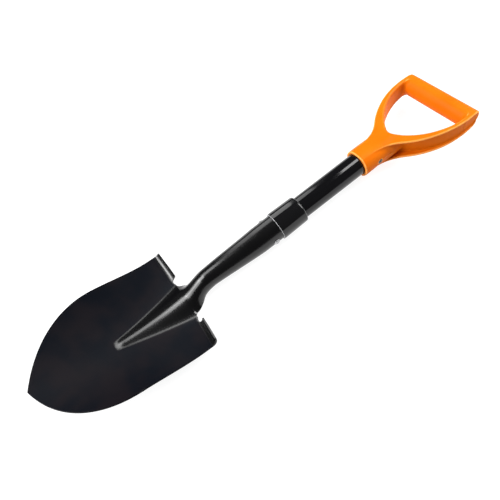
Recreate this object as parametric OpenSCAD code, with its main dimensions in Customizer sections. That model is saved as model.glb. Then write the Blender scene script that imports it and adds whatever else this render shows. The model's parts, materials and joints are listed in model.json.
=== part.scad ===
// Round point shovel with a D-grip: one stamped steel blade with its socket, a tubular
// shaft on a core, a collar over the socket's mouth, a moulded grip and their fasteners.
// It lies on its back: the tip points to -Y, the grip to +Y and the dished face up to +Z.
// The pieces are drawn with the shaft's axis on Y and the steps at y = 0, then laid down.

/* [Blade] */
// Width across the straight sides
blade_width = 163; // [130:1:220]
// Length from the steps to the point, along the shaft
blade_length = 208; // [170:1:260]
// Length of the straight sides, from the steps to where they curve in
blade_side = 95; // [60:1:120]
// Thickness of the steel sheet
sheet = 2.2; // [1.5:0.1:2.6]
// How far the blade's middle lies behind the shaft's axis at the steps
heel_depth = 12.8; // [9:0.1:15]
// Slope of the blade's middle at the steps, in degrees
blade_lift = 5.2; // [2:0.1:10]
// How much the blade's middle curls forward on its way to the point
point_curl = 42; // [20:1:50]
// How far the sides stand above the middle at the steps
heel_dish = 16.5; // [10:0.5:24]
// How far the sides stand above the middle where the blade is deepest
belly_dish = 25.2; // [16:0.5:32]

/* [Steps] */
// Height of the turned steps above the blade's face
step_height = 6.5; // [5:0.5:12]
// Inside radius of the bend under a step
step_bend = 2.5; // [2:0.5:4]
// Angle through which a step is turned, in degrees
step_turn = 80; // [60:1:90]
// Radius of the steps' rounded upper corners
step_corner = 3.5; // [2:0.5:5]
// Distance from the middle of the blade to the inner end of a step
step_inner = 40; // [35:1:48]

/* [Frog and neck] */
// Length of the ridge that runs down the blade
frog_length = 107; // [70:1:130]
// Height of the ridge at the steps
frog_height = 15; // [10:0.5:18]
// Height of the ridge's rounded nose
frog_nose = 1.2; // [0.6:0.1:2]
// Half the width of the ridge at the steps
frog_half = 24.5; // [20:0.5:25]
// Half the width of the neck where it leaves the blade
neck_half = 25.5; // [25:0.5:32]
// Length over which the neck closes into a tube
neck_length = 45; // [35:1:60]
// How far the neck's middle rises above the shaft's axis
neck_rise = 3.3; // [0:0.1:4]
// How far the neck's edges hang behind while it closes
neck_sag = 4; // [0:0.1:5]

/* [Socket] */
// Distance from the steps to the socket's mouth
socket_length = 185; // [170:1:205]
// Outside diameter of the tube where the neck has closed
neck_diameter = 28; // [25:0.5:31]
// Width of the seam at the back of the socket
seam = 1; // [0.6:0.1:2]

/* [Shaft] */
// Outside diameter of the shaft
shaft_diameter = 32; // [29:0.1:32.5]
// Wall of the shaft
shaft_wall = 3.5; // [2:0.1:5]
// Length of the shaft
shaft_length = 222; // [205:1:420]
// How far the shaft reaches past the rivet, towards the blade
shaft_below_rivet = 17; // [10:1:30]
// Length of the core inside the shaft
core_length = 100; // [60:1:160]
// Length of the core's tapered nose, past the end of the shaft
core_nose = 45; // [20:1:60]
// Diameter of the nose's end
core_tip = 18; // [10:0.5:20]

/* [Collar] */
// Length of the collar
collar_length = 42; // [34:1:60]
// Wall of the collar round the socket
collar_wall = 2; // [1.2:0.1:4]
// How much of the collar reaches past the socket's mouth
collar_reach = 14; // [8:1:20]
// Wall of the collar round the shaft
collar_nose = 3.6; // [2.6:0.1:5]
// Radius of the collar's rounded upper shoulder
collar_round = 2.5; // [1:0.1:2.5]

/* [Rivet] */
// Diameter of the rivet's shank
rivet_diameter = 6; // [4:0.1:8]
// Diameter of the rivet's heads
rivet_head = 10; // [9:0.1:13]
// Height of the rivet's heads
rivet_rise = 2.6; // [1.6:0.1:3]
// Distance from the rivet to the socket's mouth
rivet_from_mouth = 40; // [36:1:46]
// Angle that the rivet is turned round the shaft, with its left head towards the face
rivet_turn = 10; // [-20:1:20]

/* [Grip] */
// Outside diameter of the grip's socket
grip_socket = 40.4; // [39:0.1:44]
// Depth of the shaft in the grip
grip_depth = 48; // [30:1:55]
// Thickness of the solid plastic between the shaft's end and the hand opening
grip_crotch = 11; // [6:0.5:14]
// Width across the arms at the outside
grip_width = 119.6; // [105:0.1:140]
// Distance from the grip's mouth to the middle of the bar
bar_distance = 153.5; // [145:0.5:180]
// Diameter of the bar
bar_diameter = 27.4; // [24:0.1:30]
// How far before the bar's middle the arms are widest
arm_widest = 11; // [0:0.5:16]
// Radius of the arms' outer edge
arm_outer_radius = 127; // [115:1:160]
// Radius of the arms' inner edge
arm_inner_radius = 93; // [85:1:100]
// Width of each arm beside the hand opening, where the opening is widest
arm_rim = 6.5; // [5:0.1:9]
// Radius of the outer corners at the bar's ends
grip_corner = 8; // [4:0.5:12]
// Radius of the hand opening at the crotch
crotch_radius = 12; // [8:0.5:20]
// How far before the bar's middle the opening's corners end
opening_reach = 5; // [2:0.5:8]
// Radius of the hand opening's corners at the bar
opening_corner = 8; // [5:0.5:12]

/* [Grip arms] */
// Depth of the arms, front to back
arm_depth = 32; // [30:0.5:36]
// Thickness of the plastic over the end of the shaft, at the front and the back
shaft_roof = 1.4; // [1.2:0.1:3]
// Thickness of the arms' flanges
flange = 3; // [2:0.1:4]
// Thickness of the arms' inner wall
arm_web = 3.5; // [2.5:0.1:5]
// Half the width of the front flange along the socket
front_half = 11; // [9:0.5:14]
// Radius of the front flange's flare
front_flare = 60; // [45:1:90]
// Half the width of the back flange along the socket
back_half = 12; // [9:0.5:14]
// Radius of the back flange's flare
back_flare = 85; // [50:1:95]

/* [Grip screw] */
// Diameter of the screw's shank
screw_diameter = 4; // [3:0.1:5]
// Diameter of the screw's head
screw_head = 7; // [6:0.1:9]
// Height of the screw's head
screw_rise = 2; // [1.5:0.1:2.5]
// Length of the screw's shank under its head
screw_length = 12; // [7:0.5:14]
// How far the screw's head lies below the grip's surface
screw_sink = 0.3; // [0:0.1:0.8]
// Depth of the slots in the screw's head
slot_depth = 1; // [0.6:0.1:1.2]
// Width of the slots in the screw's head
slot_width = 0.9; // [0.6:0.1:1.2]
// Distance from the grip's mouth to the screw
screw_distance = 25; // [18:1:28]

/* [Fits] */
// Gap between the shaft and the collar, the grip or the core
shaft_gap = 0.1; // [0.05:0.05:0.3]
// Gap between the shaft and the socket, which is not quite round inside
socket_gap = 0.3; // [0.25:0.05:0.5]
// Gap between the collar and the socket
collar_gap = 0.1; // [0.05:0.05:0.3]
// Gap round the fasteners
fastener_gap = 0.1; // [0.05:0.05:0.3]

/* [Hidden] */
$fn = 96;

// ---- places along the shaft, from the steps at y = 0
rivet_y = socket_length - rivet_from_mouth;
collar_top = socket_length + collar_reach;
collar_bottom = collar_top - collar_length;
shaft_bottom = rivet_y - shaft_below_rivet;
shaft_top = shaft_bottom + shaft_length;
grip_mouth = shaft_top - grip_depth;
bar_y = grip_mouth + bar_distance;
screw_y = grip_mouth + screw_distance;
crotch_y = shaft_top + grip_crotch;

// ---- radii
half_width = blade_width / 2;
shaft_r = shaft_diameter / 2;
socket_r = shaft_r + socket_gap + sheet;
neck_r = neck_diameter / 2;
bore_r = shaft_r - shaft_wall;
collar_r = socket_r + collar_gap + collar_wall;
grip_r = grip_socket / 2;
bar_r = bar_diameter / 2;

function mix(a, b, t) = a + (b - a) * t;
function clamp01(t) = max(0, min(1, t));
function ease(t) = let(u = clamp01(t)) u * u * (3 - 2 * u);
function unit(v) = v / norm(v);

// Points along an arc, from one angle to another.
function arc(center, r, from, to, steps = 12) =
    [for (k = [0:steps]) let(a = mix(from, to, k / steps)) center + r * [cos(a), sin(a)]];

// ---- the blade's face: s runs from the steps to the point, x across
curl_rate = point_curl / (blade_length * blade_length);
heel_bow = heel_dish / (half_width * half_width);
belly_bow = belly_dish / (half_width * half_width);
belly_start = 15;
function middle_z(s) = -heel_depth + tan(blade_lift) * s + curl_rate * s * s;
function bow(s) = mix(heel_bow, belly_bow, ease((s - belly_start) / (blade_side - belly_start)));

// ---- the frog: a ridge that is V-shaped with a rounded crest and a fillet at its foot
nose_length = 6;
nose_half = 6.5;
frog_fall = 1.6;
foot_fillet = 0.12;
function nose_fade(s) =
    let(u = clamp01((s - frog_length + nose_length) / nose_length)) sqrt(1 - u * u);
function frog_rise(s) =
    (frog_nose + (frog_height - frog_nose) * pow(max(0, 1 - s / frog_length), frog_fall))
    * nose_fade(s);
function frog_spread(s) = mix(frog_half, nose_half, min(1, s / frog_length));
crest_at_steps = 0.25;
crest_at_nose = 0.1;
function crest_blunt(s) = mix(crest_at_steps, crest_at_nose, clamp01(s / frog_length));
function ridge(q, e) = (sqrt(1 + e * e) - sqrt(q * q + e * e)) / (sqrt(1 + e * e) - e);
function filleted(g) = (g + sqrt(g * g + foot_fillet * foot_fillet)) / 2;
function frog_z(x, s) = frog_rise(s) * filleted(ridge(abs(x) / frog_spread(s), crest_blunt(s)));
function blade_face(x, s) = [x, -s, middle_z(s) + bow(s) * x * x + frog_z(x, s)];

// ---- the steps: the sheet turned forward, d is the distance along the bend
bend_run = step_bend * step_turn * PI / 180;
flat_run = (step_height - step_bend * (1 - cos(step_turn))) / sin(step_turn);
function step_face(x, d) =
    let(
        turn = min(d / bend_run, 1) * step_turn,
        rest = max(0, d - bend_run),
        up = unit([-2 * heel_bow * x, tan(blade_lift), 1]),
        out = unit([0, 1, -tan(blade_lift)])
    )
    blade_face(x, 0)
    + out * (step_bend * sin(turn) + rest * cos(turn))
    + up * (step_bend * (1 - cos(turn)) + rest * sin(turn));
function step_run(x) =
    let(
        outer = clamp01((abs(x) - half_width + step_corner) / step_corner),
        inner = clamp01((step_inner + step_corner - abs(x)) / step_corner)
    )
    bend_run + flat_run
    - min(step_corner, flat_run) * (2 - sqrt(1 - outer * outer) - sqrt(1 - inner * inner));

// ---- the neck and socket: c runs round the sheet from seam to seam, y along the shaft
taper_top = shaft_bottom - 1;
function tube_r(y) =
    mix(neck_r, socket_r, clamp01((y - neck_length) / (taper_top - neck_length)));
function tube_z(y) = neck_rise * (1 - ease((y - neck_length) / (taper_top - neck_length)));
function tube_face(c, y) =
    let(
        r = tube_r(y),
        turn = c * (180 - seam / (2 * PI * r) * 180)
    )
    [r * sin(turn), y, tube_z(y) + r * cos(turn)];
// The sag rises fast and dies away: sqrt(u) * (1 - u), which times 2.6 peaks at 1.
function sag_at(u) = neck_sag * 2.6 * sqrt(u) * (1 - u);
function neck_face(c, y) =
    let(u = min(1, y / neck_length))
    mix(blade_face(neck_half * c, -y), tube_face(c, y), ease(u)) - [0, 0, sag_at(u) * c * c];

// ---- the sheet as a grid of rows, from the point to the socket's mouth, and columns
inner_cols = 28;
side_cols = 10;
cols = inner_cols + 2 * (side_cols + 1);
blade_rows = 32;
step_rows = 5;
close_rows = 12;
tube_rows = 10;
neck_rows = close_rows + tube_rows;
rows = blade_rows + neck_rows;

// Distance of a column from the middle: even over the neck, closer at both ends of a step.
function side_x(k) =
    k <= inner_cols / 2 ? neck_half * k / (inner_cols / 2)
    : mix(step_inner, half_width, (1 - cos(180 * (k - inner_cols / 2 - 1) / side_cols)) / 2);
function column_x(j) = sign(j - cols / 2) * side_x(abs(j - cols / 2));
function is_inner(j) = abs(j + 0.5 - cols / 2) < inner_cols / 2;
function is_notch(j) = !is_inner(j) && abs(j + 0.5 - cols / 2) < inner_cols / 2 + 1;

// Length of the blade at a distance x from its middle: two arcs that meet at the point.
point_run = blade_length - blade_side;
arc_r = (half_width * half_width + point_run * point_run) / (2 * half_width);
function blade_end(x) =
    let(across = arc_r - half_width + abs(x))
    blade_side + sqrt(max(0, arc_r * arc_r - across * across));

function neck_y(k) =
    k <= close_rows ? neck_length * k / close_rows
    : mix(neck_length, socket_length, (k - close_rows) / tube_rows);

// A point of the face at row i and column j, which may be fractions of a cell.
function lerp_x(j) = mix(column_x(floor(j)), column_x(floor(j) + 1), j - floor(j));
function lerp_y(k) = mix(neck_y(floor(k)), neck_y(floor(k) + 1), k - floor(k));
function face_at(i, j) =
    i <= blade_rows ? let(x = lerp_x(j)) blade_face(x, blade_end(x) * (1 - i / blade_rows))
    : abs(j - cols / 2) <= inner_cols / 2
        ? neck_face((j - cols / 2) / (inner_cols / 2), lerp_y(i - blade_rows))
    : let(x = lerp_x(j)) step_face(x, step_run(x) * (i - blade_rows) / step_rows);

// The back of the sheet lies one thickness behind the face, along the face's normal.
nudge = 0.02;
function normal_at(i, j) =
    let(
        i0 = i < blade_rows ? i : i - nudge,
        i1 = i < blade_rows ? i + nudge : i,
        j0 = j < cols / 2 ? j : j - nudge,
        j1 = j < cols / 2 ? j + nudge : j
    )
    unit(cross(face_at(i, j1) - face_at(i, j0), face_at(i1, j) - face_at(i0, j)));

function in_use(i, j) =
    i >= 0 && j >= 0 && j < cols && i < rows
    && (i < blade_rows || is_inner(j) || (!is_notch(j) && i < blade_rows + step_rows));
function clip_row(i, j) =
    abs(j - cols / 2) <= inner_cols / 2 ? i : min(i, blade_rows + step_rows);

per_row = cols + 1;
count = (rows + 1) * per_row;
function at(i, j) = i * per_row + j;
function quad(a, b, c, d) = [[a, b, c], [a, c, d]];

grid = [for (i = [0:rows], j = [0:cols]) [clip_row(i, j), j]];
face = [for (g = grid) face_at(g[0], g[1])];
back = [for (k = [0:count - 1]) face[k] - sheet * normal_at(grid[k][0], grid[k][1])];

module sheet_steel() {
    cells = [for (i = [0:rows - 1], j = [0:cols - 1]) if (in_use(i, j)) [i, j]];
    tiles = [
        for (cell = cells)
            let(
                i = cell[0],
                j = cell[1],
                a = at(i, j),
                b = at(i, j + 1),
                c = at(i + 1, j + 1),
                d = at(i + 1, j)
            )
            each concat(
                quad(a, d, c, b),
                quad(count + a, count + b, count + c, count + d),
                in_use(i - 1, j) ? [] : quad(a, b, count + b, count + a),
                in_use(i + 1, j) ? [] : quad(c, d, count + d, count + c),
                in_use(i, j - 1) ? [] : quad(d, a, count + a, count + d),
                in_use(i, j + 1) ? [] : quad(b, c, count + c, count + b)
            )
    ];
    polyhedron(points = concat(face, back), faces = tiles, convexity = 8);
}

// ---- how the part lies: the ground touches the collar's lower edge and the sheet's back,
// so the part leans by the least angle from that edge to any point of the back.
lie_angle = min([
    for (p = back)
        if (p.y < shaft_bottom) atan((collar_r + p.z) / (collar_bottom - p.y))
]);
tip_y = min([for (p = back) p.y * cos(lie_angle) - p.z * sin(lie_angle)]);
part_middle = (tip_y + bar_y * cos(lie_angle) + bar_r) / 2;

// Lays the part down, with the middle of its length over the origin.
module lying() {
    ground = collar_bottom * sin(lie_angle) - collar_r * cos(lie_angle);
    translate([0, -part_middle, -ground])
        rotate([lie_angle, 0, 0])
            children();
}

// A cylinder along the shaft from y0 to y1.
module rod(r, y0, y1) {
    translate([0, y0, 0])
        rotate([-90, 0, 0])
            cylinder(r = r, h = y1 - y0);
}

// A cylinder across the shaft, from x0 to x1 at the distance y.
module cross_rod(r, x0, x1, y) {
    translate([x0, y, 0])
        rotate([0, 90, 0])
            cylinder(r = r, h = x1 - x0);
}

// The hole for the rivet, through the socket, the shaft and its core.
module rivet_hole() {
    rotate([0, rivet_turn, 0])
        cross_rod(rivet_diameter / 2 + fastener_gap, -2 * socket_r, 2 * socket_r, rivet_y);
}

module blade() {
    color("#26262a")
        lying()
            difference() {
                sheet_steel();
                rivet_hole();
            }
}

module shaft() {
    color("#101012")
        lying()
            difference() {
                rod(shaft_r, shaft_bottom, shaft_top);
                rod(bore_r, shaft_bottom - 1, shaft_top + 1);
                rivet_hole();
                cross_rod(screw_diameter / 2 + fastener_gap, 0, 2 * shaft_r, screw_y);
            }
}

module shaft_core() {
    color("#c8a070")
        lying()
            difference() {
                union() {
                    rod(bore_r - shaft_gap, shaft_bottom, shaft_bottom + core_length);
                    translate([0, shaft_bottom, 0])
                        rotate([90, 0, 0])
                            cylinder(r1 = bore_r - shaft_gap, r2 = core_tip / 2, h = core_nose);
                }
                rivet_hole();
            }
}

// Half of the rivet: half its shank and one domed head with a dimple.
module half_rivet() {
    dome_r = (rivet_head * rivet_head / 4 + rivet_rise * rivet_rise) / (2 * rivet_rise);
    dimple_r = rivet_diameter / 4;
    dimple_floor = 0.4;
    translate([0, rivet_y, 0])
        rotate([0, 90, 0])
            difference() {
                union() {
                    cylinder(d = rivet_diameter, h = socket_r + 1);
                    intersection() {
                        translate([0, 0, socket_r + rivet_rise - dome_r])
                            sphere(r = dome_r);
                        translate([0, 0, socket_r])
                            cylinder(d = 2 * rivet_head, h = 2 * rivet_rise);
                    }
                }
                translate([0, 0, socket_r + rivet_rise - dimple_r / 2])
                    cylinder(r1 = dimple_floor, r2 = dimple_r, h = dimple_r);
            }
}

module socket_rivet() {
    color("silver")
        lying()
            rotate([0, rivet_turn, 0]) {
                half_rivet();
                mirror([1, 0, 0])
                    half_rivet();
            }
}

module collar() {
    nose_r = shaft_r + shaft_gap + collar_nose;
    bevel = 0.5;
    color("#0c0c0e")
        lying()
            rotate([-90, 0, 0])
                rotate_extrude()
                    difference() {
                        polygon(concat(
                            [
                                [shaft_r, collar_bottom],
                                [collar_r - bevel, collar_bottom],
                                [collar_r, collar_bottom + bevel]
                            ],
                            arc([nose_r - collar_round, collar_top - collar_round], collar_round, 0, 90),
                            [[shaft_r, collar_top]]
                        ));
                        translate([0, collar_bottom - 1])
                            square([shaft_r + shaft_gap, collar_length + 2]);
                        translate([0, collar_bottom - 1])
                            square([socket_r + collar_gap, socket_length - collar_bottom + 1]);
                    }
}

// ---- the grip's outlines in X and Y, for the right half: arcs that meet without a corner
bar_end = bar_y + bar_r;
outer_y = bar_y - arm_widest;
outer_x = grip_width / 2 - arm_outer_radius;

// The centre of a small circle inside a big one, touching it and the line y = top.
function corner_center(big, big_r, r, top) =
    [big.x + sqrt(pow(big_r - r, 2) - pow(top - r - big.y, 2)), top - r];
function angle_to(from, to) = atan2(to.y - from.y, to.x - from.x);

// The outline of a flange that runs up the socket with a half width and flares into the arms.
function flange_side(half, flare) =
    let(
        arm = [outer_x, outer_y],
        flare_x = half + flare,
        flare_y = outer_y - sqrt(pow(arm_outer_radius + flare, 2) - pow(flare_x - outer_x, 2)),
        flare_mid = [flare_x, flare_y],
        corner = corner_center(arm, arm_outer_radius, grip_corner, bar_end),
        leave = angle_to(flare_mid, arm),
        turn = angle_to(arm, corner)
    )
    concat(
        [[half, grip_mouth]],
        arc(flare_mid, flare, 180, leave),
        arc(arm, arm_outer_radius, leave - 180, turn, 24),
        arc(corner, grip_corner, turn, 90)
    );

// The hand opening's outline, grown outwards by the given amount.
opening_half = grip_width / 2 - arm_rim;
opening_end = bar_y - opening_reach;
inner_x = opening_half - arm_inner_radius;
inner_y = crotch_y + crotch_radius
    + sqrt(pow(arm_inner_radius - crotch_radius, 2) - pow(inner_x, 2));
opening_mid = [inner_x, inner_y];
crotch_mid = [0, crotch_y + crotch_radius];
opening_turn = corner_center(opening_mid, arm_inner_radius, opening_corner, opening_end);
function opening_side(grow) =
    let(
        leave = angle_to(opening_mid, crotch_mid),
        turn = angle_to(opening_mid, opening_turn)
    )
    concat(
        arc(crotch_mid, crotch_radius + grow, -90, leave),
        arc(opening_mid, arm_inner_radius + grow, leave, turn, 24),
        arc(opening_turn, opening_corner + grow, turn, 90)
    );

// Both halves of an outline that is given for the right half.
module both_sides(side) {
    last = len(side) - 1;
    polygon(concat(side, [for (k = [0:last]) [-side[last - k].x, side[last - k].y]]));
}

// The arms from the side, in Y and Z: level, then tapering to the bar and as round as it.
arm_straight = 48;
module arms_side(inset) {
    low = arm_depth / 2 - inset;
    round_r = bar_r - inset;
    half = [[grip_mouth, low], [bar_y - arm_straight, low], [bar_y, round_r]];
    polygon(concat(half, [for (k = [2:-1:0]) [half[k].x, -half[k].y]]));
    translate([bar_y, 0])
        circle(r = round_r);
}

// The socket from the side: its crown slopes down to the roof over the shaft's end, stays
// level to just past that end, and then slopes on to the arms' depth.
slope_length = 32;
module socket_side() {
    low = arm_depth / 2;
    roof = max(low, shaft_r + shaft_gap + shaft_roof);
    socket_end = crotch_y + crotch_radius;
    half = [
        [grip_mouth, grip_r],
        [grip_mouth + slope_length, roof],
        [shaft_top + shaft_roof, roof],
        [socket_end, low],
        [bar_y, low]
    ];
    polygon(concat(half, [for (k = [4:-1:0]) [half[k].x, -half[k].y]]));
}

// Extrudes an outline of Y and Z across the whole width.
module across_x() {
    translate([-grip_width, 0, 0])
        rotate([90, 0, 90])
            linear_extrude(2 * grip_width)
                children();
}

// Extrudes an outline of X and Y from one depth to another.
module between_z(z0, z1) {
    translate([0, 0, z0])
        linear_extrude(z1 - z0)
            children();
}

// The channels in the outside of both arms, between the flanges.
module channels() {
    channel_end = bar_end - grip_corner;
    difference() {
        intersection() {
            across_x()
                arms_side(flange);
            between_z(-grip_r, grip_r)
                difference() {
                    translate([-grip_width, grip_mouth + flange])
                        square([2 * grip_width, channel_end - grip_mouth - flange]);
                    both_sides(opening_side(arm_web));
                    translate([-opening_half, opening_end])
                        square([2 * opening_half, bar_end - opening_end]);
                }
        }
        rod(grip_r, grip_mouth, bar_y);
        cross_rod(bar_r, -opening_half - arm_web, opening_half + arm_web, bar_y);
    }
}

module grip_body() {
    difference() {
        union() {
            intersection() {
                rod(grip_r, grip_mouth, crotch_y + crotch_radius);
                across_x()
                    socket_side();
            }
            intersection() {
                union() {
                    between_z(0, grip_r)
                        both_sides(flange_side(front_half, front_flare));
                    between_z(-grip_r, 0)
                        both_sides(flange_side(back_half, back_flare));
                }
                across_x()
                    arms_side(0);
            }
        }
        between_z(-2 * grip_r, 2 * grip_r)
            both_sides(opening_side(0));
        between_z(-2 * grip_r, 2 * grip_r)
            translate([-opening_turn.x, opening_end - 1])
                square([2 * opening_turn.x, bar_end - opening_end + 2]);
        channels();
    }
    cross_rod(bar_r, -opening_half - arm_web, opening_half + arm_web, bar_y);
}

screw_seat = grip_r - screw_rise;
module grip() {
    color("#ff7a08")
        lying()
            difference() {
                grip_body();
                rod(shaft_r + shaft_gap, grip_mouth - 1, shaft_top);
                cross_rod(screw_diameter / 2 + fastener_gap, 0, 2 * grip_r, screw_y);
                cross_rod(screw_head / 2 + fastener_gap, screw_seat, 2 * grip_r, screw_y);
            }
}

// A flat head with a cross slot, just below the grip's surface.
module grip_screw() {
    head_top = grip_r - screw_sink;
    slot_length = 0.6 * screw_head;
    color("#9a9a9e")
        lying()
            difference() {
                union() {
                    cross_rod(screw_head / 2, screw_seat, head_top, screw_y);
                    cross_rod(screw_diameter / 2, screw_seat - screw_length, screw_seat, screw_y);
                }
                for (turn = [0, 90])
                    translate([head_top, screw_y, 0])
                        rotate([turn, 0, 0])
                            cube([2 * slot_depth, slot_length, slot_width], center = true);
            }
}

blade();
shaft();
shaft_core();
socket_rivet();
collar();
grip();
grip_screw();
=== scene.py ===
"""The looks of the round point shovel: stamped blade, tube, collar, moulded D-grip and fasteners.

Shapes are worked out in the shovel's own frame, in millimetres: x across, y along the shaft
from the steps at y = 0 towards the grip, z out of the dished face. laid() puts them where the
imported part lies, in metres.
"""

import math

import bmesh
import bpy
import numpy as np
import openvdb
from mathutils import Euler, Matrix, Vector
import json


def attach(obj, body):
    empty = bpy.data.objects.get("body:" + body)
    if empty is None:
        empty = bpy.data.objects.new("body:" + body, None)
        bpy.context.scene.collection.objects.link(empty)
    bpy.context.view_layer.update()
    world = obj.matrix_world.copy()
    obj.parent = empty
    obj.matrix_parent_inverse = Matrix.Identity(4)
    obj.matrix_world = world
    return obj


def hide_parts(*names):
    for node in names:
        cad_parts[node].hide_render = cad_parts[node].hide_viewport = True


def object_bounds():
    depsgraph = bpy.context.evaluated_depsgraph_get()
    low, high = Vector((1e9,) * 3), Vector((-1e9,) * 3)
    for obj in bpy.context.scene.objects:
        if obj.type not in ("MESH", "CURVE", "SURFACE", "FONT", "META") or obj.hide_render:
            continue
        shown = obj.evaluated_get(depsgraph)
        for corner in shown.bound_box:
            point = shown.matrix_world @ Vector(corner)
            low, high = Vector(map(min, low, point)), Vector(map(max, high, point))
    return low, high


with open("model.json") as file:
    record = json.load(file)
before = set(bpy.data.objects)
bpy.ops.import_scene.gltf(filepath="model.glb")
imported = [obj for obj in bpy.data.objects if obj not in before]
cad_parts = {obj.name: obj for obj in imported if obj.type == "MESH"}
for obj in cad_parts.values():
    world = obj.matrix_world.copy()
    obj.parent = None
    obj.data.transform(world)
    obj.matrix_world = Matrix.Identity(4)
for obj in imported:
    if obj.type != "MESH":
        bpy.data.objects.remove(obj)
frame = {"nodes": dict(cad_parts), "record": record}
cad_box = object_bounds()

MM = 0.001

# ---- sizes of the part, in millimetres, and its angles, in degrees
BLADE_WIDTH, BLADE_LENGTH, BLADE_SIDE, SHEET = 163, 208, 95, 2.2
HEEL_DEPTH, BLADE_LIFT, POINT_CURL = 12.8, 5.2, 42
HEEL_DISH, BELLY_DISH, BELLY_START = 16.5, 25.2, 15
STEP_HEIGHT, STEP_TURN, STEP_CORNER, STEP_INNER = 6.5, 80, 3.5, 40
STEP_BEND, STEP_START = 6.0, 2.0
FROG_LENGTH, FROG_HEIGHT, FROG_NOSE, FROG_HALF = 107, 15, 1.2, 24.5
NOSE_LENGTH, NOSE_HALF = 10, 5.0
NECK_HALF, NECK_LENGTH, NECK_RISE, NECK_SAG = 25.5, 45, 3.3, 4
SOCKET_LENGTH, NECK_DIAMETER, SEAM = 185, 28, 1
SHAFT_R, SHAFT_WALL, SHAFT_GAP, SOCKET_GAP = 16, 3.5, 0.1, 0.3
SHAFT_BOTTOM, SHAFT_TOP = 128, 350
COLLAR_BOTTOM, COLLAR_TOP, COLLAR_WALL, COLLAR_GAP = 157, 199, 2, 0.1
COLLAR_NOSE, COLLAR_ROUND = 3.6, 2.5
RIVET_Y, RIVET_R, RIVET_HEAD_R, RIVET_RISE, RIVET_TURN = 145, 3, 5, 2.6, 10
GRIP_R, GRIP_MOUTH, CROTCH_Y, BAR_Y, BAR_R = 20.2, 302, 361, 455.5, 13.7
GRIP_WIDTH, ARM_WIDEST, ARM_OUTER, ARM_INNER, ARM_RIM = 119.6, 11, 127, 93, 6.5
GRIP_CORNER, CROTCH_R, OPENING_REACH, OPENING_CORNER = 8, 12, 5, 8
ARM_DEPTH, FLANGE, ARM_WEB, ARM_STRAIGHT, SLOPE_LENGTH, SHAFT_ROOF = 32, 3, 3.5, 48, 32, 1.4
FRONT_HALF, FRONT_FLARE, BACK_HALF, BACK_FLARE = 11, 60, 12, 85
SCREW_Y, SCREW_R, SCREW_HEAD_R, SCREW_RISE = 327, 2, 3.5, 2
FASTENER_GAP = 0.1

HALF_WIDTH = BLADE_WIDTH / 2
SOCKET_R = SHAFT_R + SOCKET_GAP + SHEET

# ---- the shovel's frame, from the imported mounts: the bar's middle and the shaft's direction
mounts = {m["name"]: m for m in frame["record"]["mounts"]}
bar_middle = np.array(mounts["bar_hook"]["pos_m"])
along = np.array(mounts["shaft_clip"]["axis"])
along = along / np.linalg.norm(along)
across = np.array([1.0, 0.0, 0.0])
upward = np.cross(across, along)


def laid(points):
    """Points in the shovel's frame, in millimetres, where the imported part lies, in metres."""
    x, y, z = (np.asarray(points, float).reshape(-1, 3) * MM).T
    y = y - BAR_Y * MM
    return bar_middle + np.outer(x, across) + np.outer(y, along) + np.outer(z, upward)


def mix(a, b, t):
    """The value between a and b, at a when t is 0 and at b when t is 1."""
    return a + (b - a) * t


def clamp01(t):
    return np.clip(t, 0, 1)


def ease(t):
    """A smooth rise from 0 to 1 while t goes from 0 to 1."""
    u = clamp01(t)
    return u * u * (3 - 2 * u)


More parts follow.
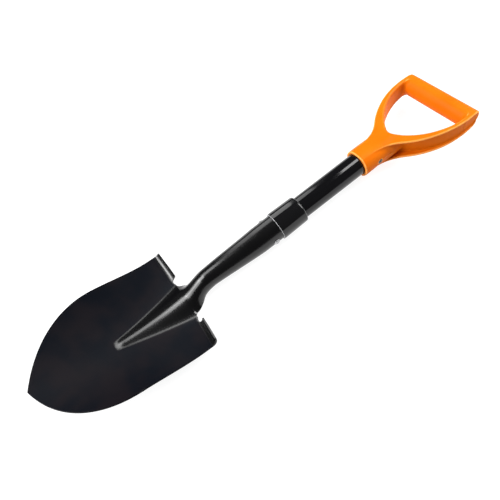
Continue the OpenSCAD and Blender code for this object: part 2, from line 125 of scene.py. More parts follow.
# ================= materials =================
class Surface:
    """A node-based material that is built up step by step around one Principled shader."""

    def __init__(self, name, **fixed):
        self.material = bpy.data.materials.new(name)
        self.material.use_nodes = True
        self.tree = self.material.node_tree
        self.shader = self.tree.nodes["Principled BSDF"]
        for socket, value in fixed.items():
            self.shader.inputs[socket.replace("_", " ")].default_value = value
        self.place = self.node("ShaderNodeTexCoord").outputs["Object"]

    def node(self, kind, **settings):
        made = self.tree.nodes.new(kind)
        for name, value in settings.items():
            setattr(made, name, value)
        return made

    def link(self, source, target):
        self.tree.links.new(source, target)

    def noise(self, scale, detail, roughness=0.5, stretch=None):
        """Values of about 0.3 to 0.7 that vary over 1/scale metres."""
        texture = self.node("ShaderNodeTexNoise")
        texture.inputs["Scale"].default_value = scale
        texture.inputs["Detail"].default_value = detail
        texture.inputs["Roughness"].default_value = roughness
        place = self.place
        if stretch:
            turned = self.node("ShaderNodeMapping")
            turned.inputs["Scale"].default_value = stretch
            self.link(self.place, turned.inputs["Vector"])
            place = turned.outputs["Vector"]
        self.link(place, texture.inputs["Vector"])
        return texture.outputs["Fac"]

    def ranged(self, value, low, high, to_low, to_high):
        """Maps low..high to to_low..to_high, smoothly and clamped."""
        node = self.node("ShaderNodeMapRange", interpolation_type="SMOOTHSTEP")
        limits = {"From Min": low, "From Max": high, "To Min": to_low, "To Max": to_high}
        for socket, number in limits.items():
            node.inputs[socket].default_value = number
        self.link(value, node.inputs["Value"])
        return node.outputs["Result"]

    def math(self, operation, a, b):
        node = self.node("ShaderNodeMath", operation=operation)
        for socket, value in zip(node.inputs, (a, b)):
            if isinstance(value, (int, float)):
                socket.default_value = value
            else:
                self.link(value, socket)
        return node.outputs[0]

    def blend(self, factor, a, b):
        """A colour between a and b. Each may be a colour or a socket."""
        node = self.node("ShaderNodeMix", data_type="RGBA")
        self.link(factor, node.inputs["Factor"])
        for socket, value in ((node.inputs[6], a), (node.inputs[7], b)):
            if isinstance(value, tuple):
                socket.default_value = (*value, 1)
            else:
                self.link(value, socket)
        return node.outputs[2]

    def mark(self, name):
        """The values that a piece carries at its points under a name."""
        return self.node("ShaderNodeAttribute", attribute_name=name).outputs["Fac"]

    def edges(self, low=0.52, high=0.6):
        """1 along convex edges and 0 elsewhere."""
        pointed = self.node("ShaderNodeNewGeometry").outputs["Pointiness"]
        return self.ranged(pointed, low, high, 0, 1)

    def color(self, source):
        self.link(source, self.shader.inputs["Base Color"])

    def roughness(self, source):
        self.link(source, self.shader.inputs["Roughness"])

    def bump(self, height, distance, strength):
        node = self.node("ShaderNodeBump")
        node.inputs["Distance"].default_value = distance
        node.inputs["Strength"].default_value = strength
        self.link(height, node.inputs["Height"])
        self.link(node.outputs["Normal"], self.shader.inputs["Normal"])


def painted_steel():
    """Satin black powder coat, glossier where the sheet is formed, with patches, and paler convex edges
    as a painted highlight.
    """
    s = Surface("painted_steel")
    formed = s.mark("formed")
    patches = s.noise(22, 3)
    speckle = s.noise(900, 2)
    patchy = s.ranged(patches, 0.35, 0.65, 0, 1)
    tone = s.blend(patchy, (0.0018, 0.0026, 0.0046), (0.0046, 0.0038, 0.0052))
    deep = s.blend(formed, tone, (0.0008, 0.0008, 0.001))
    # paler along convex edges: a painted highlight
    s.color(s.blend(s.math("MULTIPLY", s.edges(), 0.5), deep, (0.03, 0.03, 0.032)))
    satin = s.ranged(patches, 0.3, 0.7, 0.19, 0.23)
    satin = s.math("ADD", satin, s.ranged(speckle, 0.3, 0.7, -0.01, 0.01))
    s.roughness(s.math("ADD", satin, s.ranged(formed, 0, 1, 0.19, 0.0)))
    s.link(s.ranged(formed, 0, 1, 0.06, 0.5), s.shader.inputs["Specular IOR Level"])
    s.bump(speckle, 0.00002, 0.015)
    return s.material


def tube_lacquer():
    """High-gloss black lacquer with a trace of orange peel and faint handling marks."""
    s = Surface("tube_lacquer", Specular_IOR_Level=0.42)
    marks = s.noise(60, 5, 0.6, stretch=(1, 0.15, 1))
    s.color(s.blend(s.ranged(marks, 0.45, 0.75, 0, 1), (0.002, 0.002, 0.0025), (0.006, 0.006, 0.007)))
    s.roughness(s.ranged(marks, 0.3, 0.7, 0.06, 0.16))
    s.bump(s.noise(350, 2), 0.00002, 0.12)
    return s.material


def collar_plastic():
    """Gloss black moulded plastic with soft flow marks, and paler bands at its two ends and along its
    edges: a painted highlight.
    """
    s = Surface("collar_plastic", Specular_IOR_Level=0.5)
    flow = s.noise(45, 3, 0.5, stretch=(1, 0.3, 1))
    # the marked ends and the convex edges are made paler: a painted highlight on the rims
    lip = s.mark("lip")
    pale = s.math("MAXIMUM", s.math("MULTIPLY", s.edges(), 0.2), lip)
    s.color(s.blend(pale, (0.003, 0.003, 0.0035), (0.3, 0.3, 0.31)))
    s.roughness(s.ranged(flow, 0.3, 0.7, 0.07, 0.15))
    s.bump(flow, 0.00004, 0.2)
    return s.material


def grip_plastic():
    """Orange moulded plastic, semi-gloss, with a fine texture and paler convex edges as a painted
    highlight.
    """
    s = Surface("grip_plastic", Specular_IOR_Level=0.035)
    patches = s.noise(25, 3)
    grain = s.noise(1300, 3, 0.6)
    body = s.blend(s.ranged(patches, 0.3, 0.7, 0, 1), (0.6, 0.118, 0.002), (0.66, 0.138, 0.003))
    # paler along convex edges: a painted highlight
    s.color(s.blend(s.math("MULTIPLY", s.edges(0.505, 0.54), 0.7), body, (0.9, 0.42, 0.1)))
    satin = s.ranged(patches, 0.3, 0.7, 0.36, 0.44)
    s.roughness(s.math("ADD", satin, s.ranged(grain, 0.3, 0.7, -0.03, 0.03)))
    s.bump(grain, 0.00003, 0.2)
    return s.material


def plated_metal(name, dull, bright):
    """Plated steel with fine scratches, between a dull and a bright colour."""
    s = Surface(name, Metallic=1.0)
    scratches = s.noise(500, 6, 0.7, stretch=(0.2, 1, 1))
    s.color(s.blend(s.ranged(scratches, 0.35, 0.65, 0, 1), dull, bright))
    s.roughness(s.ranged(scratches, 0.3, 0.7, 0.16, 0.4))
    s.bump(scratches, 0.00003, 0.3)
    return s.material


def turned_wood():
    """Pale hardwood with long grain."""
    s = Surface("turned_wood", Specular_IOR_Level=0.3)
    grain = s.noise(260, 6, 0.6, stretch=(1, 0.06, 1))
    s.color(s.blend(s.ranged(grain, 0.35, 0.65, 0, 1), (0.42, 0.25, 0.12), (0.66, 0.46, 0.26)))
    s.roughness(s.ranged(grain, 0.3, 0.7, 0.5, 0.7))
    s.bump(grain, 0.0001, 0.4)
    return s.material


# ================= making pieces =================
MERGE = 0.01 * MM
SOFT_ANGLE, SOFT_SEGMENTS = 35, 3
CORNER_STEPS = 6


def placed(name, data):
    """A new object of the scene that holds the data."""
    made = bpy.data.objects.new(name, data)
    bpy.context.scene.collection.objects.link(made)
    return made


def finish_piece(name, points, faces, material, slot, *replaced, **marks):
    """A smooth-shaded mesh from points in the shovel's frame, riding on the part.

    Each mark is a list of values, one for each point, that the material reads by its name.
    """
    mesh = bpy.data.meshes.new(name)
    mesh.from_pydata(laid(points), [], faces)
    for label, values in marks.items():
        mesh.attributes.new(label, "FLOAT", "POINT").data.foreach_set("value", values)
    bm = bmesh.new()
    bm.from_mesh(mesh)
    bmesh.ops.remove_doubles(bm, verts=bm.verts, dist=MERGE)
    bmesh.ops.dissolve_degenerate(bm, dist=MERGE, edges=bm.edges)
    bmesh.ops.recalc_face_normals(bm, faces=bm.faces)
    bm.to_mesh(mesh)
    bm.free()
    mesh.shade_smooth()
    mesh.materials.append(material)
    piece = placed(name, mesh)
    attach(piece, "root")
    if replaced:
        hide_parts(*replaced)
    return piece


def soften(piece, width):
    """Rounds a piece's sharp edges by a width in millimetres."""
    bevel = piece.modifiers.new("soft_edges", "BEVEL")
    bevel.width = width * MM
    bevel.segments = SOFT_SEGMENTS
    bevel.limit_method = "ANGLE"
    bevel.angle_limit = math.radians(SOFT_ANGLE)
    bevel.use_clamp_overlap = True
    bevel.harden_normals = True


def rounded(corners):
    """The points of an outline whose corners (x, y, radius) are each rounded by their radius."""
    made = []
    count = len(corners)
    for k in range(count):
        x, y, r = corners[k]
        here = np.array([x, y], float)
        if r == 0:
            made.append(here)
            continue
        before = np.array(corners[k - 1][:2], float) - here
        after = np.array(corners[(k + 1) % count][:2], float) - here
        before /= np.linalg.norm(before)
        after /= np.linalg.norm(after)
        half = math.acos(np.clip(before @ after, -1, 1)) / 2
        reach = r / math.tan(half)
        centre = here + (before + after) / np.linalg.norm(before + after) * (r / math.sin(half))
        start, end = here + before * reach - centre, here + after * reach - centre
        for i in range(CORNER_STEPS + 1):
            mid = mix(start, end, i / CORNER_STEPS)
            made.append(centre + mid / np.linalg.norm(mid) * r)
    return made


def lathe(outline, sides=128, axis="y", shift=0.0):
    """Turns an outline of points (radius, distance along the axis) once round.

    The axis is the shaft's, or with "x" a line across the shaft at y = shift.
    """
    ring = np.linspace(0, 2 * math.pi, sides, endpoint=False)
    rows = []
    for r, d in outline:
        u, v, w = r * np.cos(ring), r * np.sin(ring), np.full(sides, d)
        rows.append(np.stack([u, w, v], 1) if axis == "y" else np.stack([w, u + shift, v], 1))
    points = np.concatenate(rows)
    faces = []
    count = len(outline)
    for i in range(count):
        a, b = i * sides, ((i + 1) % count) * sides
        faces += [(a + k, a + (k + 1) % sides, b + (k + 1) % sides, b + k) for k in range(sides)]
    return points, faces


# ================= the blade =================
# The ridge's shape: how fast it falls towards its nose, how blunt its crest is at each end, and
# how wide the fillet is that it stands on.
FROG_FALL = 1.6
CREST_AT_STEPS, CREST_AT_NOSE = 0.7, 0.6
FOOT_FILLET = 0.46

# The sag of the neck's sides: how early it grows, and the factor that brings its peak to about 1.
SAG_START, SAG_SCALE = 0.03, 2.6

RIM_SOFTNESS = 0.5

SLOPE = math.tan(math.radians(BLADE_LIFT))
TURN = math.radians(STEP_TURN)
HEEL_BOW, BELLY_BOW = HEEL_DISH / HALF_WIDTH**2, BELLY_DISH / HALF_WIDTH**2
BEND_RUN = STEP_BEND * TURN
FLAT_RUN = (STEP_HEIGHT - STEP_BEND * (1 - math.cos(TURN))) / math.sin(TURN)
TAPER_TOP = SHAFT_BOTTOM - 1


def unit(v):
    return v / np.linalg.norm(v, axis=-1, keepdims=True)


def frog_z(x, s):
    """Height of the ridge above the blade's face, at the distance s from the steps."""
    fade = clamp01((s - FROG_LENGTH + NOSE_LENGTH) / NOSE_LENGTH)
    fall = np.maximum(0, 1 - s / FROG_LENGTH) ** FROG_FALL
    rise = mix(FROG_NOSE, FROG_HEIGHT, fall) * (1 - ease(fade))
    spread = mix(FROG_HALF, NOSE_HALF, np.minimum(1, s / FROG_LENGTH))
    blunt = mix(CREST_AT_STEPS, CREST_AT_NOSE, clamp01(s / FROG_LENGTH))
    q = np.abs(x) / spread
    foot = np.sqrt(1 + blunt**2)
    ridge = (foot - np.sqrt(q * q + blunt**2)) / (foot - blunt)
    return rise * (ridge + np.sqrt(ridge * ridge + FOOT_FILLET**2)) / 2


def blade_face(x, s):
    """The dished face of the blade, at the distance s from the steps."""
    bow = mix(HEEL_BOW, BELLY_BOW, ease((s - BELLY_START) / (BLADE_SIDE - BELLY_START)))
    middle = -HEEL_DEPTH + SLOPE * s + POINT_CURL * (s / BLADE_LENGTH) ** 2
    return np.stack([x, -s, middle + bow * x * x + frog_z(x, s)], -1)


def step_start(x):
    """How far before the steps' line the sheet starts to bend."""
    return STEP_START * ease((np.abs(x) - NECK_HALF) / (STEP_INNER - NECK_HALF))


def step_face(x, d):
    """The face of a turned step, at the distance d along its bend."""
    turn = np.minimum(d / BEND_RUN, 1) * TURN
    rest = np.maximum(0, d - BEND_RUN)
    up = unit(np.stack([-2 * HEEL_BOW * x, np.full_like(x, SLOPE), np.ones_like(x)], -1))
    out = unit(np.array([0, 1, -SLOPE]))
    forward = (STEP_BEND * np.sin(turn) + rest * np.cos(turn))[..., None]
    rise = (STEP_BEND * (1 - np.cos(turn)) + rest * np.sin(turn))[..., None]
    return blade_face(x, step_start(x)) + out * forward + up * rise


def step_run(x):
    """How far the sheet goes up a step, which is less at the step's two rounded corners."""
    outer = clamp01((np.abs(x) - HALF_WIDTH + STEP_CORNER) / STEP_CORNER)
    inner = clamp01((STEP_INNER + STEP_CORNER - np.abs(x)) / STEP_CORNER)
    cut = 2 - np.sqrt(1 - outer * outer) - np.sqrt(1 - inner * inner)
    return BEND_RUN + FLAT_RUN - min(STEP_CORNER, FLAT_RUN) * cut


def tube_face(c, y):
    """The face of the socket. The sheet's sides, c = -1 and 1, meet at the seam behind."""
    t = (y - NECK_LENGTH) / (TAPER_TOP - NECK_LENGTH)
    r = mix(NECK_DIAMETER / 2, SOCKET_R, clamp01(t))
    turn = c * (math.pi - SEAM / (2 * r))
    return np.stack([r * np.sin(turn), y, NECK_RISE * (1 - ease(t)) + r * np.cos(turn)], -1)


def neck_face(c, y):
    """The face where the flat sheet at the steps rolls up into the socket."""
    u = np.minimum(1, y / NECK_LENGTH)
    sag = NECK_SAG * SAG_SCALE * u / np.sqrt(u + SAG_START) * (1 - u) * c * c
    face = mix(blade_face(NECK_HALF * c, -y), tube_face(c, y), ease(u)[..., None])
    face[..., 2] -= sag
    return face


# The sheet is a grid. Columns run across: the steps, the notches and the neck. Rows run from
# the point to the steps, and on over the steps or along the neck and socket. A column on the
# border of the neck or of a step belongs to it, and TINY takes up the rounding there.
NECK_COLS, NOTCH_COLS, SIDE_COLS = 36, 10, 26
BLADE_ROWS, FILLET_ROWS, STEP_ROWS, CLOSE_ROWS, TUBE_ROWS = 96, 4, 10, 40, 30
NOTCH_FILLET = 4.2
TINY = 1e-6


def crowded(steps, count):
    """Places from 0 to 1 that lie closer together towards both ends."""
    return (1 - np.cos(math.pi * steps / count)) / 2


def column_places():
    """Distance of each column of the right half from the middle."""
    neck = NECK_HALF * np.arange(NECK_COLS + 1) / NECK_COLS
    notch = mix(NECK_HALF, STEP_INNER, crowded(np.arange(1, NOTCH_COLS), NOTCH_COLS))
    side = mix(STEP_INNER, HALF_WIDTH, crowded(np.arange(SIDE_COLS + 1), SIDE_COLS))
    return np.concatenate([neck, notch, side])


def blade_end(x):
    """Length of the blade at a distance from its middle: two arcs that meet at the point."""
    run = BLADE_LENGTH - BLADE_SIDE
    radius = (HALF_WIDTH**2 + run**2) / (2 * HALF_WIDTH)
    return BLADE_SIDE + np.sqrt(np.maximum(0, radius**2 - (radius - HALF_WIDTH + np.abs(x)) ** 2))


def notch_run(x):
    """How far the sheet reaches past the steps' line in a notch, where its two corners are rounded."""
    gap = np.minimum(np.abs(x) - NECK_HALF, STEP_INNER - np.abs(x))
    inside = clamp01((NOTCH_FILLET - gap) / NOTCH_FILLET)
    return NOTCH_FILLET * (1 - np.sqrt(1 - inside**2))


def sheet_grid():
    """Points of the face by row and column, and which cells between them hold sheet."""
    half = column_places()
    x = np.concatenate([-half[:0:-1], half])
    cols = len(x)
    middles = np.abs((x[1:] + x[:-1]) / 2)
    neck_cells, side_cells = middles < NECK_HALF, middles > STEP_INNER
    in_neck, in_side = np.abs(x) <= NECK_HALF + TINY, np.abs(x) >= STEP_INNER - TINY
    near_neck = np.abs(x) < (NECK_HALF + STEP_INNER) / 2
    rows, cells = [], []
    for i in range(BLADE_ROWS):
        rows.append(blade_face(x, mix(blade_end(x), step_start(x), i / BLADE_ROWS)))
        cells.append(np.ones(cols - 1, bool))
    fillet = np.where(in_neck | in_side, NOTCH_FILLET, notch_run(x))
    for k in range(FILLET_ROWS + 1):
        run = fillet * k / FILLET_ROWS
        rows.append(np.where(near_neck[:, None], neck_face(x / NECK_HALF, run), step_face(x, run)))
        cells.append(np.ones(cols - 1, bool) if k < FILLET_ROWS else neck_cells | side_cells)
    neck_y = np.concatenate(
        [
            mix(NOTCH_FILLET, NECK_LENGTH, np.arange(1, CLOSE_ROWS + 1) / CLOSE_ROWS),
            mix(NECK_LENGTH, SOCKET_LENGTH, np.arange(1, TUBE_ROWS + 1) / TUBE_ROWS),
        ]
    )
    for k, y in enumerate(neck_y, 1):
        neck = neck_face(np.clip(x / NECK_HALF, -1, 1), np.full(cols, y))
        run = mix(NOTCH_FILLET, step_run(x), min(1, k / STEP_ROWS))
        rows.append(np.where(in_neck[:, None], neck, step_face(x, run)))
        side = side_cells if k < STEP_ROWS else np.zeros(cols - 1, bool)
        cells.append(neck_cells | side)
    return np.array(rows), np.array(cells[:-1])


def sheet_mesh():
    """The sheet's face, its back one thickness behind and the rim between them."""
    face, used = sheet_grid()
    rows, cols = face.shape[:2]
    a, b, c, d = face[:-1, :-1], face[:-1, 1:], face[1:, 1:], face[1:, :-1]
    tilt = np.cross(c - a, d - b) * used[..., None]
    normal = np.zeros_like(face)
    for rs in (slice(0, -1), slice(1, None)):
        for cs in (slice(0, -1), slice(1, None)):
            normal[rs, cs] += tilt
    length = np.linalg.norm(normal, axis=-1, keepdims=True)
    normal = normal / np.maximum(length, 1e-9)
    back = face - SHEET * normal
    index = np.arange(rows * cols).reshape(rows, cols)
    other = rows * cols
    quads = []
    for i, j in zip(*np.nonzero(used)):
        p, q, r, s = index[i, j], index[i, j + 1], index[i + 1, j + 1], index[i + 1, j]
        quads.append((p, q, r, s))
        quads.append((p + other, s + other, r + other, q + other))
        for free, u, v in (
            (i == 0 or not used[i - 1, j], p, q),
            (i == rows - 2 or not used[i + 1, j], r, s),
            (j == 0 or not used[i, j - 1], s, p),
            (j == cols - 2 or not used[i, j + 1], q, r),
        ):
            if free:
                quads.append((u, u + other, v + other, v))
    points = np.concatenate([face.reshape(-1, 3), back.reshape(-1, 3)])
    return points, [tuple(int(k) for k in quad) for quad in quads]


# The ridge counts as formed from this share of its height upwards, and fully from twice the
# share. Past its nose the height is held at the least rise, so that a share can be worked out.
RIDGE_START = 0.07
LEAST_RISE = 0.01


def make_blade(material):
    """The stamped sheet, marked where it is formed: on the ridge and past the steps' bend."""
    points, faces = sheet_mesh()
    x, y = points[:, 0], points[:, 1]
    s = np.clip(-y, 0, FROG_LENGTH)
    raised = frog_z(x, s) / np.maximum(frog_z(np.zeros_like(x), s), LEAST_RISE)
    formed = np.where(y < -STEP_START, ease((raised - RIDGE_START) / RIDGE_START), 1.0)
    blade = finish_piece("blade_sheet", points, faces, material, "black_steel", "blade", formed=formed)
    soften(blade, RIM_SOFTNESS)


# ================= tubes, collar and fasteners =================
SHAFT_EDGE = 0.5
COLLAR_EDGE_IN, COLLAR_EDGE_OUT, COLLAR_EDGE_NOSE = 0.3, 0.5, 0.45
# widths of the paler bands at the collar's two ends, a painted highlight
HIGHLIGHT_AT_BOTTOM, HIGHLIGHT_AT_TOP = 0.45, 0.7
RIVET_SIDES, DOME_STEPS, RIVET_SINK, HEAD_TAPER = 48, 12, 0.12, 0.15

# The dimple in a rivet's head: the radius and depth of its middle, then (share of the dimple's
# radius, depth) up its side, and the share at which the dome starts.
MIDDLE_R, DIMPLE_DEPTH = 0.02, 0.5
DIMPLE_SIDE = ((0.5, 0.42), (0.85, 0.2))
DOME_START = 1.15


def make_shaft(material):
    inner = SHAFT_R - SHAFT_WALL
    outline = rounded(
        [
            (inner, SHAFT_BOTTOM, SHAFT_EDGE),
            (SHAFT_R, SHAFT_BOTTOM, SHAFT_EDGE),
            (SHAFT_R, SHAFT_TOP, SHAFT_EDGE),
            (inner, SHAFT_TOP, SHAFT_EDGE),
        ]
    )
    finish_piece("shaft_tube", *lathe(outline), material, "black_tube", "shaft")


def make_collar(material):
    """A ring that is wide over the socket's mouth and narrow on the shaft beyond it."""
    inner = SHAFT_R + SHAFT_GAP
    nose = inner + COLLAR_NOSE
    wide = SOCKET_R + COLLAR_GAP
    outer = wide + COLLAR_WALL
    outline = rounded(
        [
            (inner, SOCKET_LENGTH, 0),
            (wide, SOCKET_LENGTH, 0),
            (wide, COLLAR_BOTTOM, COLLAR_EDGE_IN),
            (outer, COLLAR_BOTTOM, COLLAR_EDGE_OUT),
            (nose, COLLAR_TOP, COLLAR_ROUND),
            (inner, COLLAR_TOP, COLLAR_EDGE_NOSE),
        ]
    )
    points, faces = lathe(outline)
    y = points[:, 1]
    # the paler bands at both ends: a painted highlight on the rims
    lip = np.where((y < COLLAR_BOTTOM + HIGHLIGHT_AT_BOTTOM) | (y > COLLAR_TOP - HIGHLIGHT_AT_TOP), 1.0, 0.0)
    finish_piece("collar_sleeve", points, faces, material, "black_collar", "collar", lip=lip)


def make_rivet(material):
    """One rivet through the socket, with a domed and dimpled head at each side."""
    top = SOCKET_R + RIVET_RISE
    dome = (RIVET_HEAD_R**2 + RIVET_RISE**2) / (2 * RIVET_RISE)
    dimple = RIVET_R / 2
    start, rim = math.asin(dimple * DOME_START / dome), math.acos(1 - RIVET_RISE / dome)
    half = [(MIDDLE_R, top - DIMPLE_DEPTH)]
    half += [(dimple * share, top - depth) for share, depth in DIMPLE_SIDE]
    for k in range(DOME_STEPS + 1):
        a = mix(start, rim, k / DOME_STEPS)
        half.append((dome * math.sin(a), top - dome + dome * math.cos(a)))
    seat = SOCKET_R - RIVET_SINK
    half += [(RIVET_HEAD_R - HEAD_TAPER, seat), (RIVET_R, seat)]
    outline = half + [(r, -d) for r, d in reversed(half)]
    points, faces = lathe(outline, RIVET_SIDES, "x", RIVET_Y)
    cos, sin = math.cos(math.radians(RIVET_TURN)), math.sin(math.radians(RIVET_TURN))
    points = points @ np.array([[cos, 0, -sin], [0, 1, 0], [sin, 0, cos]])
    last = (len(outline) - 1) * RIVET_SIDES
    caps = [tuple(range(RIVET_SIDES)), tuple(range(last, last + RIVET_SIDES))]
    faces = faces[:last] + caps
    finish_piece("rivet", points, faces, material, "bright_steel", "socket_rivet")


# ================= the grip =================
# The grip is a field of distances to its surface on a grid of points. Shapes are joined,
# cut and rounded in that field, and the surface is taken out of it at the end.
VOXEL, MARGIN = 0.75, 3
LONG_ARC, END_ARC = 48, 32
SIDE_START = GRIP_MOUTH - 5

# Fillets, the radii of edges and inner corners, and the relief in the socket beside the flanges.
BAR_FILLET, FILLET_REACH, SOCKET_FILLET = 6.0, 1.0, 2.5
HAND_EDGE, FLANGE_EDGE, CHANNEL_EDGE = 3.2, 1.3, 1.0
CHANNEL_R, WEB_R, CROWN_R = 1.5, 2.0, 3.0
MOUTH_EDGE, BORE_EDGE, SEAT_EDGE = 1.2, 0.8, 0.4
RELIEF_DEPTH, RELIEF_WIDTH, RELIEF_START, RELIEF_RUN = 0.9, 9.0, 5.0, 24.0


def arc(centre, r, start, end, steps=24):
    """Points on an arc between two angles in degrees."""
    a = np.radians(mix(start, end, np.arange(steps + 1) / steps))
    return np.stack([centre[0] + r * np.cos(a), centre[1] + r * np.sin(a)], 1)


def angle_to(start, end):
    """The direction from one point to another, in degrees."""
    return math.degrees(math.atan2(end[1] - start[1], end[0] - start[0]))


def corner_centre(big, big_r, r, top):
    """The centre of a small circle inside a big one, touching it and the line y = top."""
    return big[0] + math.sqrt((big_r - r) ** 2 - (top - r - big[1]) ** 2), top - r


BAR_END = BAR_Y + BAR_R
ARM_CENTRE = (GRIP_WIDTH / 2 - ARM_OUTER, BAR_Y - ARM_WIDEST)
OPENING_HALF = GRIP_WIDTH / 2 - ARM_RIM
OPENING_END = BAR_Y - OPENING_REACH
CROTCH_CENTRE = (0, CROTCH_Y + CROTCH_R)
INNER_CENTRE = (
    OPENING_HALF - ARM_INNER,
    CROTCH_CENTRE[1] + math.sqrt((ARM_INNER - CROTCH_R) ** 2 - (OPENING_HALF - ARM_INNER) ** 2),
)


def flange_outline(half, flare):
    """The right half of a flange: up the socket, flared into the arm and round the corner."""
    flare_x = half + flare
    flare_y = ARM_CENTRE[1] - math.sqrt((ARM_OUTER + flare) ** 2 - (flare_x - ARM_CENTRE[0]) ** 2)
    corner = corner_centre(ARM_CENTRE, ARM_OUTER, GRIP_CORNER, BAR_END)
    leave = angle_to((flare_x, flare_y), ARM_CENTRE)
    turn = angle_to(ARM_CENTRE, corner)
    return np.concatenate(
        [
            [[-GRIP_WIDTH, GRIP_MOUTH], [half, GRIP_MOUTH]],
            arc((flare_x, flare_y), flare, 180, leave),
            arc(ARM_CENTRE, ARM_OUTER, leave - 180, turn, LONG_ARC),
            arc(corner, GRIP_CORNER, turn, 90),
            [[-GRIP_WIDTH, BAR_END]],
        ]
    )


def opening_outline(grow=0.0, passage=False):
    """The right half of the hand opening, grown outwards, or of a passage that runs on past the bar."""
    corner = corner_centre(INNER_CENTRE, ARM_INNER, OPENING_CORNER, OPENING_END)
    leave = angle_to(INNER_CENTRE, CROTCH_CENTRE)
    turn = 0 if passage else angle_to(INNER_CENTRE, corner)
    top = BAR_END + GRIP_WIDTH if passage else OPENING_END + grow
    close = [[OPENING_HALF, top]] if passage else arc(corner, OPENING_CORNER + grow, turn, 90)
    return np.concatenate(
        [
            [[-GRIP_WIDTH, CROTCH_Y - grow]],
            arc(CROTCH_CENTRE, CROTCH_R + grow, -90, leave),
            arc(INNER_CENTRE, ARM_INNER + grow, leave, turn, LONG_ARC),
            close,
            [[-GRIP_WIDTH, top]],
        ]
    )


def outline_distance(outline, u, v):
    """Signed distance to a closed outline on the grid of u by v: negative inside."""
    p = np.stack(np.meshgrid(u, v, indexing="ij"), -1)
    best = np.full(p.shape[:2], np.inf)
    inside = np.zeros(p.shape[:2], bool)
    for a, b in zip(outline, np.roll(outline, -1, 0)):
        ab = b - a
        t = clamp01(((p - a) @ ab) / max(ab @ ab, 1e-12))
        best = np.minimum(best, ((p - a - t[..., None] * ab) ** 2).sum(-1))
        crosses = (a[1] > p[..., 1]) != (b[1] > p[..., 1])
        slope = (b[0] - a[0]) / (b[1] - a[1]) if b[1] != a[1] else 0.0
        inside ^= crosses & (p[..., 0] < a[0] + (p[..., 1] - a[1]) * slope)
    return np.sqrt(best) * np.where(inside, -1, 1)


def join(a, b, r=0.0):
    """The union of two fields, with a fillet of radius r where they meet."""
    if r == 0:
        return np.minimum(a, b)
    return np.maximum(np.minimum(a, b), r) - np.hypot(np.maximum(r - a, 0), np.maximum(r - b, 0))


def both(a, b, r=0.0):
    """What is inside two fields at once, with their common edge rounded by r."""
    if r == 0:
        return np.maximum(a, b)
    return np.minimum(np.maximum(a, b), -r) + np.hypot(np.maximum(r + a, 0), np.maximum(r + b, 0))


def cut(a, b, r=0.0):
    """What is inside a and not inside b, with the cut's edge rounded by r."""
    return both(a, -b, r)


def side_outline(low, round_r):
    """The arms from the side: level, tapering to the bar and round at its end."""
    half = [(SIDE_START, low), (BAR_Y - ARM_STRAIGHT, low), (BAR_Y, round_r)]
    end = arc((BAR_Y, 0), round_r, 90, -90, END_ARC)
    return np.concatenate([half, end, [(y, -z) for y, z in reversed(half)]])


def grip_field():
    """The field of the whole grip, and the grid's corner."""
    xs = np.arange(-GRIP_WIDTH / 2 - MARGIN, GRIP_WIDTH / 2 + MARGIN, VOXEL)
    ys = np.arange(GRIP_MOUTH - MARGIN, BAR_END + MARGIN, VOXEL)
    zs = np.arange(-GRIP_R - MARGIN, GRIP_R + MARGIN, VOXEL)
    x, y, z = (a.astype(np.float32) for a in np.meshgrid(xs, ys, zs, indexing="ij", sparse=True))
    across_x = np.abs(xs)

    def flat(outline):
        return outline_distance(outline, across_x, ys)[:, :, None].astype(np.float32)

    def side(outline):
        return outline_distance(outline, ys, zs)[None].astype(np.float32)

    tube = np.hypot(x, z)
    rod = both(np.hypot(y - BAR_Y, z) - BAR_R, np.abs(x) - OPENING_HALF - ARM_WEB)
    arms = side(side_outline(ARM_DEPTH / 2, BAR_R))
    hollow = side(side_outline(ARM_DEPTH / 2 - FLANGE, BAR_R - FLANGE))
    front = flat(flange_outline(FRONT_HALF, FRONT_FLARE))
    back = flat(flange_outline(BACK_HALF, BACK_FLARE))
    opening, web = flat(opening_outline(passage=True)), flat(opening_outline(ARM_WEB))

    # the arms: two flanges and the wall beside the opening, with a channel between them
    flange = np.where(z > 0, front, back)
    block = both(flange, arms, FLANGE_EDGE)
    channel = both(hollow, GRIP_MOUTH + FLANGE - y, CHANNEL_R)
    channel = cut(channel, web, WEB_R)
    channel = cut(channel, tube - GRIP_R, CHANNEL_R)
    channel = cut(channel, rod, CHANNEL_R)
    body = cut(block, channel, CHANNEL_EDGE)

    # the socket, whose crown slopes down to the arms and whose sides fall away from the flanges
    roof, roof_end = SHAFT_R + SHAFT_GAP + SHAFT_ROOF, SHAFT_TOP + SHAFT_ROOF
    crown = mix(GRIP_R, roof, ease((y - GRIP_MOUTH) / SLOPE_LENGTH))
    crown = np.abs(z) - mix(crown, ARM_DEPTH / 2, ease((y - roof_end) / (CROTCH_CENTRE[1] - roof_end)))
    relief = RELIEF_DEPTH * ease((y - GRIP_MOUTH - RELIEF_START) / RELIEF_RUN)
    relief = relief * ease(flange / FLANGE_EDGE) * ease(1 - flange / RELIEF_WIDTH)
    socket_end = y - CROTCH_CENTRE[1]
    socket = both(both(tube - GRIP_R + relief, crown, CROWN_R), socket_end)
    thickness = join(arms, both(crown, socket_end))
    body = both(join(body, socket, SOCKET_FILLET), thickness)
    body = both(body, GRIP_MOUTH - y, MOUTH_EDGE)

    # the hand opening and the bar across it, with fillets inside the opening only
    body = cut(body, opening, HAND_EDGE)
    body = join(join(body, rod), both(join(body, rod, BAR_FILLET), opening - FILLET_REACH))
    body = both(body, thickness)

    # the bore for the shaft and the seat of the screw
    body = cut(body, both(tube - SHAFT_R - SHAFT_GAP, y - SHAFT_TOP), BORE_EDGE)
    screw = np.hypot(y - SCREW_Y, z)
    body = cut(body, both(screw - SCREW_R - FASTENER_GAP, -x))
    seat = both(screw - SCREW_HEAD_R - FASTENER_GAP, GRIP_R - SCREW_RISE - x)
    body = cut(body, seat, SEAT_EDGE)
    return body, np.array([xs[0], ys[0], zs[0]])


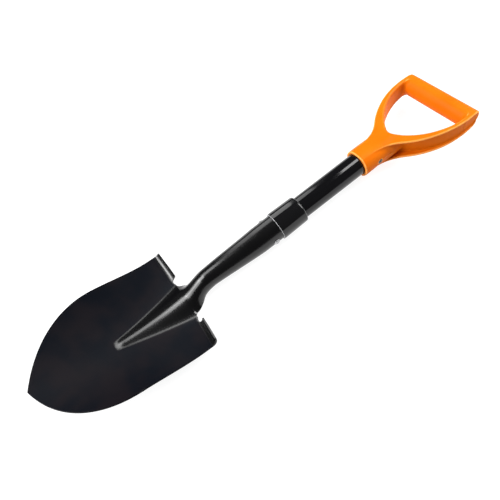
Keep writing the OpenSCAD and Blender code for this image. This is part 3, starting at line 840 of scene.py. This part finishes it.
def make_grip(material):
    field, corner = grip_field()
    grid = openvdb.FloatGrid(VOXEL * 3)
    grid.copyFromArray(np.ascontiguousarray(field, dtype=np.float32))
    points, quads = grid.convertToQuads(isovalue=0.0)
    points = points * VOXEL + corner
    finish_piece("d_grip", points, quads.tolist(), material, "orange_plastic", "grip")


# ================= stage, lights and camera =================
# In metres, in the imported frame: the shovel's middle is over the origin.
FLOOR_REACH, FLOOR_GAP = 6.0, 0.0003


def floor_paper():
    """Matt paper, lit from within so that it stays evenly white under the softboxes."""
    s = Surface(
        "floor_paper",
        Roughness=0.9,
        Specular_IOR_Level=0.0,
        Emission_Color=(1, 1, 1, 1),
        Emission_Strength=0.9,
    )
    s.color(s.blend(s.noise(3, 2), (0.19, 0.19, 0.19), (0.21, 0.21, 0.21)))
    return s.material


def make_floor(material):
    """A large sheet of paper just below the part."""
    mesh = bpy.data.meshes.new("floor")
    corners = [(x * FLOOR_REACH, y * FLOOR_REACH, 0) for x, y in ((-1, -1), (1, -1), (1, 1), (-1, 1))]
    mesh.from_pydata(corners, [], [(0, 1, 2, 3)])
    mesh.materials.append(material)
    floor = placed("floor", mesh)
    floor.location.z = cad_box[0].z - FLOOR_GAP


def make_world():
    """An even, faint white light from all sides."""
    world = bpy.data.worlds.new("studio")
    world.use_nodes = True
    background = world.node_tree.nodes["Background"]
    background.inputs["Color"].default_value = (1, 1, 1, 1)
    background.inputs["Strength"].default_value = 0.1
    bpy.context.scene.world = world
    bpy.context.scene.view_settings.view_transform = "Standard"


def softbox(name, position, size, radiance):
    """A rectangular light that faces the origin. Its size is across the shovel and along it."""
    lamp = bpy.data.lights.new(name, "AREA")
    lamp.shape = "RECTANGLE"
    lamp.size, lamp.size_y = size
    lamp.energy = radiance * math.pi * size[0] * size[1]
    light = placed(name, lamp)
    light.location = position
    away = Vector(position).normalized()
    side = Vector((0, 1, 0)).cross(away).normalized()
    light.rotation_euler = Matrix((side, away.cross(side), away)).transposed().to_euler()


def make_lights():
    """Softboxes. Most are named after the part of the shovel that mirrors them in the photo's view."""
    softbox("back_box", (0.3, 1.6, 1.16), (1.15, 1.15), 10)
    softbox("shaft_box", (0.0, 0.86, 1.4), (0.6, 0.34), 9)
    softbox("tube_box", (-1.12, 0.25, 0.93), (1.0, 0.5), 3.2)
    softbox("crest_box", (-0.61, -0.36, 1.26), (0.7, 0.5), 6)
    softbox("front_box", (-0.31, -0.78, 1.24), (0.76, 0.58), 10.5)
    softbox("neck_box", (-0.04, -1.12, 0.98), (0.8, 0.5), 8)
    softbox("step_box", (-0.4, -1.25, 0.85), (0.6, 1.0), 6)


def make_camera():
    """The photo's viewpoint, as the shovel's straight and round features give it."""
    data = bpy.data.cameras.new("camera")
    data.sensor_width, data.lens = 36.0, 28.8
    data.shift_x, data.shift_y = -0.001, 0.001
    data.clip_start, data.clip_end = 0.01, 50
    camera = placed("camera", data)
    camera.location = (0.28016, -0.08165, 0.48119)
    camera.rotation_euler = Euler([math.radians(a) for a in (28.7313, 13.1937, 54.7437)])
    bpy.context.scene.camera = camera


# ================= the scene =================
make_blade(painted_steel())
make_shaft(tube_lacquer())
make_collar(collar_plastic())
make_rivet(plated_metal("bright_metal", (0.28, 0.28, 0.29), (0.6, 0.6, 0.61)))
make_grip(grip_plastic())

# Two imported pieces are shown as they are, with a material of their own.
# The screw's dark metal also stands in for the shade in its recessed seat: painted shade.
screw_metal = plated_metal("dark_metal_painted_shade", (0.05, 0.045, 0.04), (0.2, 0.19, 0.17))
for node, material in (("shaft_core", turned_wood()), ("grip_screw", screw_metal)):
    cad_object = frame["nodes"][node]
    cad_object.data.materials.clear()
    cad_object.data.materials.append(material)

make_floor(floor_paper())
make_world()
make_lights()
make_camera()
